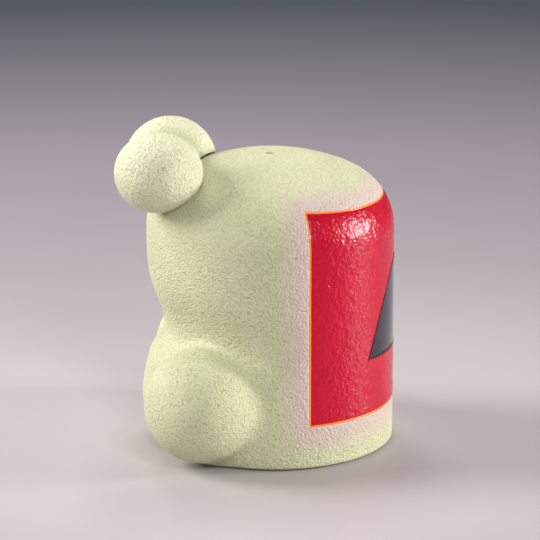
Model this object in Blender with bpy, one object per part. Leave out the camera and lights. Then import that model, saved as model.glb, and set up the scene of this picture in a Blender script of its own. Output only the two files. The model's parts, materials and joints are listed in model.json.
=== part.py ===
"""A small domed art figure: hollow body with two lower lobes, a swivelling two-lobed topknot and a gloss front panel.

Metres, +Z up. The front panel faces -Y, the lobes are at the back (+Y), and the origin is on the body's
upright axis, in the plane of the underside.
"""

import math

import bmesh
import bpy
from mathutils import Matrix, Vector

MM = 0.001

# Body: an upright cylinder with a rounded shoulder and a shallow crown
BODY_RADIUS = 45.1 * MM
BODY_HEIGHT = 107.2 * MM
SHOULDER_RADIUS = 22.0 * MM
CROWN_RADIUS = 78.0 * MM
WALL = 3.0 * MM
FOOT_EDGE = 1.2 * MM
RIM_LIFT = 0.5 * MM
VENT_RADIUS = 1.5 * MM

# Back of the body: a pinched waist, with a slight belly and a drawn-in foot under it
WAIST_HEIGHT = 43.7 * MM
WAIST_DEPTH = 6.4 * MM
WAIST_REACH_ABOVE = 14.0 * MM
WAIST_REACH_BELOW = 8.5 * MM
BELLY_HEIGHT = 17.0 * MM
BELLY_DEPTH = 1.9 * MM
BELLY_REACH = 9.0 * MM
FOOT_DRAW_IN = 2.7 * MM
FOOT_DRAW_REACH = 3.4 * MM
BACK_FULL_ANGLE = math.radians(45)
BACK_END_ANGLE = math.radians(112)

# Lower lobes: two balls half sunk in the body, one on each side of the back
LOBE_RADIUS = 21.0 * MM
LOBE_DISTANCE = 44.0 * MM
LOBE_HEIGHT = 22.7 * MM
LOBE_ANGLE = math.radians(58.2)
LOBE_HEART_DISTANCE = 30.0 * MM
LOBE_BLEND = 6.0 * MM

# Base plate, pressed into the open foot
PLATE_RADIUS = 38.0 * MM
PLATE_TOP = 3.2 * MM
PLATE_EDGE = 0.6 * MM
LEDGE_BOTTOM = 3.5 * MM
LEDGE_TOP = 6.0 * MM
LEDGE_RADIUS = 36.0 * MM
OPENING_RADIUS = 38.4 * MM

# Front panel with its border and its dark arch, all let into one shallow recess
GAP = 0.3 * MM
INLAY_THICKNESS = 1.5 * MM
PANEL_HALF_ANGLE = math.radians(69.8)
PANEL_BOTTOM = 16.1 * MM
PANEL_TOP = 93.0 * MM
CORNER_RISE = 2.6 * MM
BORDER_WIDTH = 0.7 * MM
ARCH_HALF_WIDTH = 28.6 * MM
ARCH_BOTTOM = 36.6 * MM
ARCH_RISE = 33.5 * MM

# Topknot: two balls joined by a thick waist, sitting across the back of the crown
NEAR_BALL = Vector((-21.5, 39.3, 105.0)) * MM
FAR_BALL = Vector((20.0, 37.3, 98.0)) * MM
NEAR_BALL_RADIUS = 15.7 * MM
FAR_BALL_RADIUS = 17.1 * MM
NEAR_BALL_WIDEN = 1.02
NEAR_BALL_FLATTEN = 0.93
KNOT_WAIST_RADIUS = 12.5 * MM
KNOT_BLEND = 6.0 * MM
KNOT_WALL = 2.8 * MM
SEAT_GAP = 0.4 * MM

# Swivel: a flanged peg turning in a bush, on an axis square to the shoulder at the seat
SEAT_ELEVATION = math.radians(62)
HOLE_RADIUS = 6.9 * MM
BUSH_RADIUS = 6.6 * MM
BUSH_BORE = 4.5 * MM
BUSH_FLANGE_RADIUS = 8.0 * MM
BUSH_FLANGE_THICKNESS = 1.5 * MM
BUSH_TOP = -1.3 * MM
BUSH_FLANGE_TOP = -5.1 * MM
PEG_RADIUS = 4.2 * MM
PEG_FLANGE_RADIUS = 5.6 * MM
PEG_FLANGE_THICKNESS = 1.6 * MM
SEAT_REACH = 42.0 * MM
SEAT_DEPTH = 40.0 * MM

# Facets: how finely the round shapes are divided
SEGMENTS = 60
WALL_STEPS = 20
INNER_WALL_STEPS = 10
HARDWARE_SEGMENTS = 32
CROWN_SEGMENTS = 96
SEAT_RINGS = 24
SEAT_TURNS = 36
SEAT_HALVINGS = 24
KNOT_CAP_STEPS = 7
KNOT_MIDDLE_STEPS = 10
KNOT_SEGMENTS = 28
HOLLOW_CAP_STEPS = 5
HOLLOW_MIDDLE_STEPS = 7
HOLLOW_SEGMENTS = 20
PANEL_COLUMNS = 24
PANEL_CUT_COLUMNS = 26
PANEL_WALL_ROWS = 3
PANEL_SHOULDER_ROWS = 4
ARCH_COLUMNS = 10
ARCH_STEPS = 12
ARCH_TIP_SHARE = 0.06
SHARP_ANGLE = math.radians(35)

WALL_TOP = BODY_HEIGHT - CROWN_RADIUS + math.sqrt(
    (CROWN_RADIUS - SHOULDER_RADIUS) ** 2 - (BODY_RADIUS - SHOULDER_RADIUS) ** 2
)
SHOULDER_CENTRE = BODY_RADIUS - SHOULDER_RADIUS
SHOULDER_SWEEP = math.acos(SHOULDER_CENTRE / (CROWN_RADIUS - SHOULDER_RADIUS))
SEAT_AXIS = Vector((0, math.cos(SEAT_ELEVATION), math.sin(SEAT_ELEVATION)))
SEAT_POINT = Vector((0, SHOULDER_CENTRE, WALL_TOP)) + SHOULDER_RADIUS * SEAT_AXIS


def clear_scene():
    for item in list(bpy.data.objects):
        bpy.data.objects.remove(item, do_unlink=True)


def make_material(name, colour, roughness, metallic=0.0, coat=0.0):
    material = bpy.data.materials.new(name)
    material.use_nodes = True
    shader = material.node_tree.nodes["Principled BSDF"]
    shader.inputs["Base Color"].default_value = (*colour, 1)
    shader.inputs["Roughness"].default_value = roughness
    shader.inputs["Metallic"].default_value = metallic
    shader.inputs["Coat Weight"].default_value = coat
    material.diffuse_color = (*colour, 1)
    return material


def make_object(name, points, faces, material=None):
    """A mesh object whose faces are turned outwards."""
    mesh = bpy.data.meshes.new(name)
    mesh.from_pydata([tuple(point) for point in points], [], faces)
    build = bmesh.new()
    build.from_mesh(mesh)
    bmesh.ops.recalc_face_normals(build, faces=build.faces)
    build.to_mesh(mesh)
    build.free()
    mesh.shade_smooth()
    mesh.set_sharp_from_angle(angle=SHARP_ANGLE)
    made = bpy.data.objects.new(name, mesh)
    bpy.context.scene.collection.objects.link(made)
    if material:
        mesh.materials.append(material)
    return made


def as_cutter(item):
    item.hide_render = True
    item.display_type = "WIRE"
    return item


def cut(item, cutter):
    modifier = item.modifiers.new("cut_" + cutter.name, "BOOLEAN")
    modifier.operation = "DIFFERENCE"
    modifier.object = as_cutter(cutter)
    modifier.solver = "EXACT"


def smooth_step(value):
    value = min(max(value, 0.0), 1.0)
    return value * value * (3 - 2 * value)


def smooth_max(first, second, blend):
    overlap = max(blend - abs(first - second), 0.0) / blend
    return max(first, second) + overlap * overlap * blend / 4


def spaced(start, end, count):
    return [start + (end - start) * step / count for step in range(count + 1)]


# ---- body surface ----------------------------------------------------------------------------


def push_lobe(point, inset):
    """Moves a point of the trunk out onto the lower lobe of its side, along a line from the lobe's heart."""
    side = math.copysign(LOBE_ANGLE, point.x)
    level = Vector((math.sin(side), math.cos(side), 0))
    heart = LOBE_HEART_DISTANCE * level + Vector((0, 0, LOBE_HEIGHT))
    spread = LOBE_DISTANCE - LOBE_HEART_DISTANCE
    direction = (point - heart).normalized()
    along = spread * direction.dot(level)
    radius = LOBE_RADIUS - inset
    leaving = along + math.sqrt(radius * radius - spread * spread + along * along)
    push = smooth_max(leaving - (point - heart).length, 0.0, LOBE_BLEND)
    moved = point + push * direction
    moved.z = max(moved.z, RIM_LIFT)
    return moved


def back_offset(angle, height):
    """What the waist, the belly and the drawn-in foot add to the radius at the back."""
    reach = WAIST_REACH_ABOVE if height > WAIST_HEIGHT else WAIST_REACH_BELOW
    waist = WAIST_DEPTH * math.exp(-(((height - WAIST_HEIGHT) / reach) ** 2))
    belly = BELLY_DEPTH * math.exp(-(((height - BELLY_HEIGHT) / BELLY_REACH) ** 2))
    foot = FOOT_DRAW_IN * math.exp(-height / FOOT_DRAW_REACH)
    share = 1 - smooth_step((abs(angle) - BACK_FULL_ANGLE) / (BACK_END_ANGLE - BACK_FULL_ANGLE))
    return (belly - waist - foot) * share


def surface_point(angle, radius, height, inset):
    """Point of the body at an angle from the back, where the plain turned profile has this radius."""
    trunk = radius + back_offset(angle, height)
    point = Vector((trunk * math.sin(angle), trunk * math.cos(angle), height))
    return point if height >= WALL_TOP else push_lobe(point, inset)


def crown_profile(inset, shoulder_steps, crown_steps, end_radius):
    """(radius, height) points from the top of the wall to a small radius near the axis."""
    points = []
    for turn in spaced(0, SHOULDER_SWEEP, shoulder_steps):
        arc = SHOULDER_RADIUS - inset
        points.append((SHOULDER_CENTRE + arc * math.cos(turn), WALL_TOP + arc * math.sin(turn)))
    crown = CROWN_RADIUS - inset
    centre = BODY_HEIGHT - CROWN_RADIUS
    start_radius = points[-1][0]
    for radius in spaced(start_radius, end_radius, crown_steps)[1:]:
        points.append((radius, centre + math.sqrt(crown * crown - radius * radius)))
    return points


def ring(radius, height, inset=None):
    """One closed ring from the back round through +X: on the shaped body where an inset is given."""
    points = []
    for step in range(SEGMENTS):
        angle = 2 * math.pi * (step / SEGMENTS - (step > SEGMENTS / 2))
        if inset is None:
            points.append(Vector((radius * math.sin(angle), radius * math.cos(angle), height)))
        else:
            points.append(surface_point(angle, radius, height, inset))
    return points


def bridge(rings, closed_path):
    """Quads between following rings; closed_path joins the last ring to the first."""
    faces = []
    count = len(rings)
    size = len(rings[0])
    for index in range(count if closed_path else count - 1):
        lower = index * size
        upper = ((index + 1) % count) * size
        for step in range(size):
            after = (step + 1) % size
            faces.append((lower + step, lower + after, upper + after, upper + step))
    return faces


def make_body(material):
    corner = math.radians(45)
    outer = [
        (BODY_RADIUS - FOOT_EDGE, RIM_LIFT),
        (
            BODY_RADIUS - FOOT_EDGE * (1 - math.sin(corner)),
            RIM_LIFT + FOOT_EDGE * (1 - math.cos(corner)),
        ),
    ]
    outer += [(BODY_RADIUS, height) for height in spaced(RIM_LIFT + FOOT_EDGE, WALL_TOP, WALL_STEPS)[:-1]]
    outer += crown_profile(0, 6, 3, VENT_RADIUS)
    inner_heights = spaced(LEDGE_TOP + WALL / 2, WALL_TOP, INNER_WALL_STEPS)[:-1]
    inner_wall = [(BODY_RADIUS - WALL, height) for height in inner_heights]
    inner = inner_wall + crown_profile(WALL, 4, 2, VENT_RADIUS)
    rings = [ring(radius, height, 0) for radius, height in outer]
    rings += [ring(radius, height, WALL) for radius, height in inner[::-1]]
    rings += [
        ring(LEDGE_RADIUS, LEDGE_TOP),
        ring(LEDGE_RADIUS, LEDGE_BOTTOM),
        ring(OPENING_RADIUS, LEDGE_BOTTOM),
        ring(OPENING_RADIUS, RIM_LIFT),
    ]
    points = [point for loop in rings for point in loop]
    return make_object("body_shell", points, bridge(rings, True), material)


# ---- turned pieces -----------------------------------------------------------------------------


def turned(name, profile, segments, material=None, origin=Vector(), axis=Vector((0, 0, 1)), shape=None):
    """A closed (radius, height) outline turned about an axis; a radius of 0 lies on the axis.

    shape(height) gives how much wider and taller than round the section is there.
    """
    rows = []
    points = []
    for radius, height in profile:
        if radius == 0:
            rows.append([len(points)])
            points.append((0, 0, height))
            continue
        rows.append(list(range(len(points), len(points) + segments)))
        wide, tall = shape(height) if shape else (1, 1)
        for step in range(segments):
            angle = 2 * math.pi * step / segments
            points.append((wide * radius * math.cos(angle), tall * radius * math.sin(angle), height))
    faces = []
    ends_on_axis = profile[0][0] == 0
    pairs = list(zip(rows, rows[1:])) if ends_on_axis else list(zip(rows, rows[1:] + rows[:1]))
    for lower, upper in pairs:
        for step in range(segments):
            after = (step + 1) % segments
            if len(lower) == 1:
                faces.append((lower[0], upper[after], upper[step]))
            elif len(upper) == 1:
                faces.append((lower[step], lower[after], upper[0]))
            else:
                faces.append((lower[step], lower[after], upper[after], upper[step]))
    made = make_object(name, points, faces, material)
    level = axis.cross(Vector((0, 0, 1)))
    level = level.normalized() if level.length > 0 else Vector((1, 0, 0))
    turn = Matrix((level, axis.cross(level), axis)).transposed().to_4x4()
    made.matrix_world = Matrix.Translation(origin) @ turn
    return made


def make_base_plate(material):
    profile = [
        (0, 0),
        (PLATE_RADIUS - PLATE_EDGE, 0),
        (PLATE_RADIUS, PLATE_EDGE),
        (PLATE_RADIUS, PLATE_TOP),
        (0, PLATE_TOP),
    ]
    turned("base_plate", profile, SEGMENTS, material)


def make_bush(material):
    flange_bottom = BUSH_FLANGE_TOP - BUSH_FLANGE_THICKNESS
    profile = [
        (BUSH_BORE, flange_bottom),
        (BUSH_FLANGE_RADIUS, flange_bottom),
        (BUSH_FLANGE_RADIUS, BUSH_FLANGE_TOP),
        (BUSH_RADIUS, BUSH_FLANGE_TOP),
        (BUSH_RADIUS, BUSH_TOP),
        (BUSH_BORE, BUSH_TOP),
    ]
    turned("swivel_bush", profile, HARDWARE_SEGMENTS, material, SEAT_POINT, SEAT_AXIS)


def make_peg(material):
    lower_top = BUSH_FLANGE_TOP - BUSH_FLANGE_THICKNESS - GAP
    upper_bottom = SEAT_GAP + KNOT_WALL + GAP
    profile = [
        (0, lower_top - PEG_FLANGE_THICKNESS),
        (PEG_FLANGE_RADIUS, lower_top - PEG_FLANGE_THICKNESS),
        (PEG_FLANGE_RADIUS, lower_top),
        (PEG_RADIUS, lower_top),
        (PEG_RADIUS, upper_bottom),
        (PEG_FLANGE_RADIUS, upper_bottom),
        (PEG_FLANGE_RADIUS, upper_bottom + PEG_FLANGE_THICKNESS),
        (0, upper_bottom + PEG_FLANGE_THICKNESS),
    ]
    turned("swivel_peg", profile, HARDWARE_SEGMENTS, material, SEAT_POINT, SEAT_AXIS)


def drill(name, item, radius, bottom, top):
    """Cuts a round hole along the swivel axis."""
    profile = [(0, bottom), (radius, bottom), (radius, top), (0, top)]
    cut(item, turned(name, profile, HARDWARE_SEGMENTS, None, SEAT_POINT, SEAT_AXIS))


# ---- topknot -----------------------------------------------------------------------------------


def knot_radius(along, length, inset):
    """Radius of the topknot about the line through its two ball centres."""
    near = NEAR_BALL_RADIUS - inset
    far = FAR_BALL_RADIUS - inset
    near_part = math.sqrt(max(near * near - along * along, 0))
    far_part = math.sqrt(max(far * far - (along - length) ** 2, 0))
    if along <= 0:
        return near_part
    if along >= length:
        return far_part
    waist = smooth_max(near_part, KNOT_WAIST_RADIUS - inset, KNOT_BLEND)
    waist_far = smooth_max(far_part, KNOT_WAIST_RADIUS - inset, KNOT_BLEND)
    fade_near = 1 - smooth_step(along / near)
    fade_far = 1 - smooth_step((length - along) / far)
    waist += (near_part - waist) * fade_near
    waist_far += (far_part - waist_far) * fade_far
    return max(waist, waist_far)


def knot_solid(name, inset, cap_steps, middle_steps, segments, material=None):
    line = FAR_BALL - NEAR_BALL
    length = line.length
    near = NEAR_BALL_RADIUS - inset
    far = FAR_BALL_RADIUS - inset
    quarter = math.pi / 2
    stations = [-near * math.cos(turn) for turn in spaced(0, quarter, cap_steps)]
    stations += spaced(0, length, middle_steps)[1:-1]
    stations += [length + far * math.sin(turn) for turn in spaced(0, quarter, cap_steps)]
    profile = [(0, stations[0])]
    profile += [(knot_radius(along, length, inset), along) for along in stations[1:-1]]
    profile.append((0, stations[-1]))

    def shape(along):
        share = 1 - smooth_step(along / length)
        return 1 + (NEAR_BALL_WIDEN - 1) * share, 1 + (NEAR_BALL_FLATTEN - 1) * share

    return turned(name, profile, segments, material, NEAR_BALL, line.normalized(), shape)


def body_gap(point):
    """How far a point lies outside the body's plain turned shape; negative inside."""
    radius = math.hypot(point.x, point.y)
    if point.z < WALL_TOP:
        return radius - BODY_RADIUS
    turn = math.atan2(point.z - WALL_TOP, radius - SHOULDER_CENTRE)
    if turn < SHOULDER_SWEEP:
        return math.hypot(radius - SHOULDER_CENTRE, point.z - WALL_TOP) - SHOULDER_RADIUS
    return math.hypot(radius, point.z - BODY_HEIGHT + CROWN_RADIUS) - CROWN_RADIUS


def seat_rise(reach, grow):
    """Highest place of the body, grown by a clearance, on a circle of this radius round the swivel axis."""
    across = Vector((1, 0, 0))
    downward = SEAT_AXIS.cross(across)
    best = -SEAT_DEPTH
    for turn in spaced(0, math.pi, SEAT_TURNS):
        foot = SEAT_POINT + reach * (math.cos(turn) * downward + math.sin(turn) * across)
        low = -SEAT_DEPTH
        high = KNOT_BLEND
        for _ in range(SEAT_HALVINGS):
            middle = (low + high) / 2
            if body_gap(foot + middle * SEAT_AXIS) > grow:
                high = middle
            else:
                low = middle
        best = max(best, high)
    return best


def seat_solid(name, grow):
    """All that the body sweeps through as the topknot turns on it, grown by a clearance, as a cutter."""
    profile = [(0, -SEAT_DEPTH), (SEAT_REACH, -SEAT_DEPTH)]
    profile += [(reach, seat_rise(reach, grow)) for reach in spaced(SEAT_REACH, 0, SEAT_RINGS)]
    return turned(name, profile, CROWN_SEGMENTS, None, SEAT_POINT, SEAT_AXIS)


def make_topknot(material):
    knot = knot_solid("topknot_shell", 0, KNOT_CAP_STEPS, KNOT_MIDDLE_STEPS, KNOT_SEGMENTS, material)
    cut(knot, seat_solid("seat_form", SEAT_GAP))
    hollow = knot_solid(
        "topknot_hollow", KNOT_WALL, HOLLOW_CAP_STEPS, HOLLOW_MIDDLE_STEPS, HOLLOW_SEGMENTS
    )
    cut(hollow, seat_solid("hollow_floor", SEAT_GAP + KNOT_WALL))
    cut(knot, hollow)
    drill("topknot_bore", knot, BUSH_BORE, -2 * WALL, SEAT_GAP + KNOT_WALL + 2 * GAP)


# ---- front inlays --------------------------------------------------------------------------------


def front_point(angle, along, depth):
    """A point on the front: angle from the middle, height along the turned profile, depth under it."""
    wall_part = min(along, WALL_TOP)
    turn = (along - wall_part) / SHOULDER_RADIUS
    arc = SHOULDER_RADIUS - depth
    radius = SHOULDER_CENTRE + arc * math.cos(turn)
    height = wall_part + arc * math.sin(turn)
    return (radius * math.sin(angle), -radius * math.cos(angle), height)


def along_at(height):
    """Length along the turned profile from the underside up to this height."""
    if height <= WALL_TOP:
        return height
    return WALL_TOP + SHOULDER_RADIUS * math.asin((height - WALL_TOP) / SHOULDER_RADIUS)


def front_slab(name, rows, columns, depths, material=None, rise=0):
    """A curved slab on the front; rows holds (height along the profile, half angle).

    rise is how much higher its top corners are than the middle of its top edge.
    """
    points = []
    for depth in depths:
        for along, half in rows:
            level = (along - rows[0][0]) / (rows[-1][0] - rows[0][0])
            for step in range(columns + 1):
                share = 2 * step / columns - 1
                points.append(front_point(half * share, along + rise * level * share**2, depth))
    width = columns + 1
    layer = len(rows) * width
    faces = []
    for row in range(len(rows) - 1):
        for step in range(columns):
            corner = row * width + step
            outer = (corner, corner + 1, corner + width + 1, corner + width)
            faces.append(outer)
            faces.append(tuple(index + layer for index in outer[::-1]))
    edge = list(range(width))
    edge += [row * width + columns for row in range(1, len(rows))]
    edge += [(len(rows) - 1) * width + step for step in range(columns - 1, -1, -1)]
    edge += [row * width for row in range(len(rows) - 2, 0, -1)]
    for first, second in zip(edge, edge[1:] + edge[:1]):
        faces.append((second, first, first + layer, second + layer))
    return make_object(name, points, faces, material)


def panel_rows(margin):
    """Rows of the whole panel area drawn in by a margin."""
    bottom = PANEL_BOTTOM + margin
    top = along_at(PANEL_TOP) - margin
    half = PANEL_HALF_ANGLE - margin / BODY_RADIUS
    wall_rows = spaced(bottom, WALL_TOP, PANEL_WALL_ROWS)[:-1]
    return [(along, half) for along in wall_rows + spaced(WALL_TOP, top, PANEL_SHOULDER_ROWS)]


def arch_rows(margin):
    """Rows of the dark arch, whose outline is a parabola, grown by a margin."""
    half_width = ARCH_HALF_WIDTH + margin
    rise = ARCH_RISE + 2 * margin
    rows = []
    for share in spaced(1, ARCH_TIP_SHARE, ARCH_STEPS):
        along = ARCH_BOTTOM - margin + rise * (1 - share * share)
        rows.append((along, half_width * share / BODY_RADIUS))
    return rows


def make_front(body, panel_material, border_material, arch_material):
    proud = -2 * INLAY_THICKNESS
    through = 2 * INLAY_THICKNESS
    inlay = (0, INLAY_THICKNESS)
    recess_depths = (proud, INLAY_THICKNESS + GAP)
    recess = front_slab(
        "recess", panel_rows(-GAP), PANEL_CUT_COLUMNS, recess_depths, rise=CORNER_RISE
    )
    cut(body, recess)
    border = front_slab(
        "panel_border", panel_rows(0), PANEL_COLUMNS, inlay, border_material, CORNER_RISE
    )
    opening = front_slab(
        "border_opening", panel_rows(BORDER_WIDTH), PANEL_CUT_COLUMNS, (proud, through), rise=CORNER_RISE
    )
    cut(border, opening)
    inner_rows = panel_rows(BORDER_WIDTH + GAP)
    panel = front_slab("front_panel", inner_rows, PANEL_COLUMNS, inlay, panel_material, CORNER_RISE)
    cut(panel, front_slab("arch_opening", arch_rows(GAP), ARCH_COLUMNS, (proud, through)))
    front_slab("arch_inlay", arch_rows(0), ARCH_COLUMNS, inlay, arch_material)


def main():
    clear_scene()
    vinyl = make_material("celadon_stipple", (0.60, 0.65, 0.44), 0.85)
    knot_vinyl = make_material("celadon_stipple_topknot", (0.64, 0.67, 0.47), 0.85)
    red_gloss = make_material("red_gloss", (0.62, 0.02, 0.05), 0.25, coat=1.0)
    orange_gloss = make_material("orange_gloss", (0.85, 0.25, 0.03), 0.3, coat=0.6)
    black_gloss = make_material("black_gloss", (0.012, 0.013, 0.017), 0.08, coat=1.0)
    plate_vinyl = make_material("base_plastic", (0.42, 0.45, 0.33), 0.7)
    peg_plastic = make_material("peg_plastic", (0.75, 0.74, 0.68), 0.4)
    bush_plastic = make_material("bush_plastic", (0.55, 0.55, 0.52), 0.4)

    body = make_body(vinyl)
    drill("body_hole", body, HOLE_RADIUS, -3 * WALL, 2 * WALL)
    make_front(body, red_gloss, orange_gloss, black_gloss)
    make_topknot(knot_vinyl)
    make_bush(bush_plastic)
    make_peg(peg_plastic)
    make_base_plate(plate_vinyl)


main()
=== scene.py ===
"""Looks of a small domed art figure.

The body and the topknot carry a sprayed stipple. The front carries a gloss panel, a thin border and
a dark arch.
"""

import json
import math

import bmesh
import bpy
import numpy as np
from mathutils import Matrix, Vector, noise


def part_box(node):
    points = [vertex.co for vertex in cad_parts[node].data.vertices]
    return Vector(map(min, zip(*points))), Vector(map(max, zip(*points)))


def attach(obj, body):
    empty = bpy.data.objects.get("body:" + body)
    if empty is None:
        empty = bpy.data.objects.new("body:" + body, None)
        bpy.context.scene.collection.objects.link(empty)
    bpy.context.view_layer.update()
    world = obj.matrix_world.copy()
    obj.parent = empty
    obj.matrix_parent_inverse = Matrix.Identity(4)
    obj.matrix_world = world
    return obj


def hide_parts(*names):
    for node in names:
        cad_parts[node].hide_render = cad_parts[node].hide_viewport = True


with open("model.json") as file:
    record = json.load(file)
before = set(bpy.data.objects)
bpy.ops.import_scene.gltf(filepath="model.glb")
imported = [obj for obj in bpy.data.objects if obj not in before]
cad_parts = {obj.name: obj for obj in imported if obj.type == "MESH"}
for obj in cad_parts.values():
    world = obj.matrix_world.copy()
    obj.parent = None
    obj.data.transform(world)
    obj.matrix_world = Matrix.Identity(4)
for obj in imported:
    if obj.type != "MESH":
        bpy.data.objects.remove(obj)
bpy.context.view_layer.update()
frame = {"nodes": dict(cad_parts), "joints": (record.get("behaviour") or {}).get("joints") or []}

MM = 0.001
EDGE = 0.05 * MM  # smallest step between neighbouring surfaces

# Body shape, in step with the CAD solid
BODY_LOW, BODY_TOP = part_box("body_shell")
BODY_RADIUS = 45.1 * MM
BODY_HEIGHT = BODY_TOP.z
SHOULDER_RADIUS = 22.0 * MM
CROWN_RADIUS = 78.0 * MM
WALL = 3.0 * MM
FOOT_EDGE = 1.2 * MM
RIM_LIFT = BODY_LOW.z
VENT_RADIUS = 1.5 * MM
VENT_EDGE = 0.35 * MM
WAIST_HEIGHT = 43.7 * MM
WAIST_DEPTH = 6.4 * MM
WAIST_REACH_ABOVE = 14.0 * MM
WAIST_REACH_BELOW = 8.5 * MM
BELLY_HEIGHT = 17.0 * MM
BELLY_DEPTH = 1.9 * MM
BELLY_REACH = 9.0 * MM
FOOT_DRAW_IN = 2.7 * MM
FOOT_DRAW_REACH = 3.4 * MM
BACK_FULL_ANGLE = math.radians(45)
BACK_END_ANGLE = math.radians(112)
LOBE_RADIUS = 21.0 * MM
LOBE_DISTANCE = 44.0 * MM
LOBE_HEIGHT = 22.7 * MM
LOBE_ANGLE = math.radians(58.2)
LOBE_HEART_DISTANCE = 30.0 * MM
LOBE_BLEND = 6.0 * MM
LEDGE_BOTTOM = 3.5 * MM
LEDGE_TOP = 6.0 * MM
LEDGE_RADIUS = 36.0 * MM
OPENING_RADIUS = 38.4 * MM

# Front inlays
PANEL_HALF_ANGLE = math.radians(69.8)
PANEL_BOTTOM = 16.1 * MM
PANEL_TOP = 93.0 * MM
CORNER_RISE = 2.6 * MM
BORDER_WIDTH = 0.7 * MM
ARCH_HALF_WIDTH = 28.6 * MM
ARCH_BOTTOM = 36.6 * MM
ARCH_RISE = 33.5 * MM

# Topknot
NEAR_BALL = Vector((-21.5, 39.3, 105.0)) * MM
FAR_BALL = Vector((20.0, 37.3, 98.0)) * MM
NEAR_BALL_RADIUS = 15.7 * MM
FAR_BALL_RADIUS = 17.1 * MM
NEAR_BALL_WIDEN = 1.02
NEAR_BALL_FLATTEN = 0.93
KNOT_WAIST_RADIUS = 12.5 * MM
KNOT_BLEND = 6.0 * MM
SEAT_GAP = 0.4 * MM
HOLE_RADIUS = 6.9 * MM
SEAT_REACH = 42.0 * MM
SEAT_DEPTH = 40.0 * MM
SEAT_TOP = 6 * MM
SEAT_LIP = 1.0 * MM

# Relief
RECESS_DEPTH = 1.55 * MM
HOLE_DEPTH = 4.9 * MM
STIPPLE_HEIGHT = 0.15 * MM
STIPPLE_SIZE = 1.35 * MM
PANEL_FADE = 0.8 * MM
VENT_FADE = 1.0 * MM
VENT_CLEAR = 0.2 * MM
RIM_FADE = 1.2 * MM
HOLE_FADE = 2 * MM
HOLE_SNAP = 0.3 * MM
SEAT_ZONE = 12 * MM
SLAB_DEPTH = 1.4 * MM
PANEL_PROUD = 0.10 * MM
PANEL_UNDERLAP = 0.25 * MM
PEBBLE_HEIGHT = 0.17 * MM
PEBBLE_SIZE = 2.1 * MM
PEBBLE_FADE = 1.0 * MM
ARCH_SINK = 0.6 * MM
BORDER_PROUD = 0.06 * MM
BORDER_WAVER = 0.02 * MM
ARCH_PROUD = 0.30 * MM
ARCH_BEAD = 0.85 * MM
ARCH_FLAT = 0.12 * MM
ARCH_FOOT_DEPTH = 0.05 * MM

# How fine the surfaces are
BODY_COLUMNS = 440
FOOT_ROWS = 6
LOWER_WALL_ROWS = 20
WALL_ROWS = 106
SHOULDER_ROWS = 23
UPPER_SHOULDER_ROWS = 19
CROWN_ROWS = 44
VENT_TURNS = (0.35, 0.7, 1.05, math.pi / 2)
INNER_WALL_ROWS = 9
INNER_SHOULDER_ROWS = 6
INNER_CROWN_ROWS = 4
KNOT_COLUMNS = 300
KNOT_CAP_ROWS = 54
KNOT_MIDDLE_ROWS = 96
SEAT_TURNS = 73
SEAT_HALVINGS = 24
SEAT_SAMPLES = 120
PANEL_PITCH = 0.42 * MM
BORDER_PITCH = 0.5 * MM
ARCH_CURVE_POINTS = 161
ARCH_FOOT_POINTS = 121
ARCH_BEAD_TURNS = 7
ARCH_BEAD_ROWS = 9
ARCH_INNER_ROWS = 30

# Colours and grain
CELADON = (0.61, 0.61, 0.395)
# CELADON_LIGHT and CELADON_DARK paint light on the stipple's grain tops and shade in the hollows
# between grains
CELADON_LIGHT = (0.66, 0.655, 0.455)
CELADON_DARK = (0.535, 0.545, 0.33)
KNOT_TINT = (0.69, 0.675, 0.50)
PINK = (0.595, 0.445, 0.43)
HALO_REACH = 14 * MM
# The crease values paint shade into the dip between the topknot's balls
CREASE_PLACE = 0.6
CREASE_REACH = 9 * MM
PAINTED_CREASE_SHADE = (0.73, 0.76, 0.67)
GRAIN_SIZE = 0.82 * MM
BODY_GRAIN_DEPTH = 0.85 * MM
KNOT_GRAIN_DEPTH = 0.55 * MM
RED = (0.455, 0.002, 0.023)
RED_DARK = (0.34, 0.001, 0.014)
ORANGE = (0.88, 0.235, 0.012)
ORANGE_DARK = (0.80, 0.16, 0.010)
BLACK = (0.014, 0.015, 0.020)
BLACK_LIGHT = (0.020, 0.021, 0.027)
RIM_BLACK = (0.004, 0.004, 0.005)
RIM_BLACK_DARK = (0.002, 0.002, 0.003)
PLATE_GREEN = (0.42, 0.42, 0.27)
PLATE_GREEN_DARK = (0.37, 0.37, 0.23)
BUSH_GREY = (0.55, 0.55, 0.52)
BUSH_GREY_DARK = (0.50, 0.50, 0.47)
PEG_IVORY = (0.75, 0.74, 0.68)
PEG_IVORY_DARK = (0.70, 0.69, 0.62)

# Camera
TARGET = Vector((0, 0, 62.8 * MM))
VIEW_AZIMUTH = math.radians(-88)
VIEW_ELEVATION = math.radians(16.2)
VIEW_DISTANCE = 1.65
SENSOR = 36.0
VIEW_SPAN = 0.1976

# Stage: colours of the floor by distance from its middle, a painted pool of light that is pale near
# the middle and darker further out, and of the world by height
FLOOR_HALF = 6.0
PAINTED_FLOOR_LIGHT_STOPS = [
    (0.0, (0.47, 0.44, 0.445)),
    (0.12, (0.44, 0.41, 0.42)),
    (0.25, (0.33, 0.303, 0.316)),
    (0.42, (0.285, 0.25, 0.285)),
    (0.72, (0.077, 0.095, 0.112)),
    (1.0, (0.065, 0.08, 0.097)),
]
WORLD_STRENGTH = 0.40
WORLD_STOPS = [
    (0.0, (0.095, 0.097, 0.102)),
    (0.012, (0.10, 0.102, 0.107)),
    (0.06, (0.62, 0.58, 0.575)),
    (0.25, (0.30, 0.29, 0.30)),
    (1.0, (0.20, 0.20, 0.21)),
]
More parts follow.
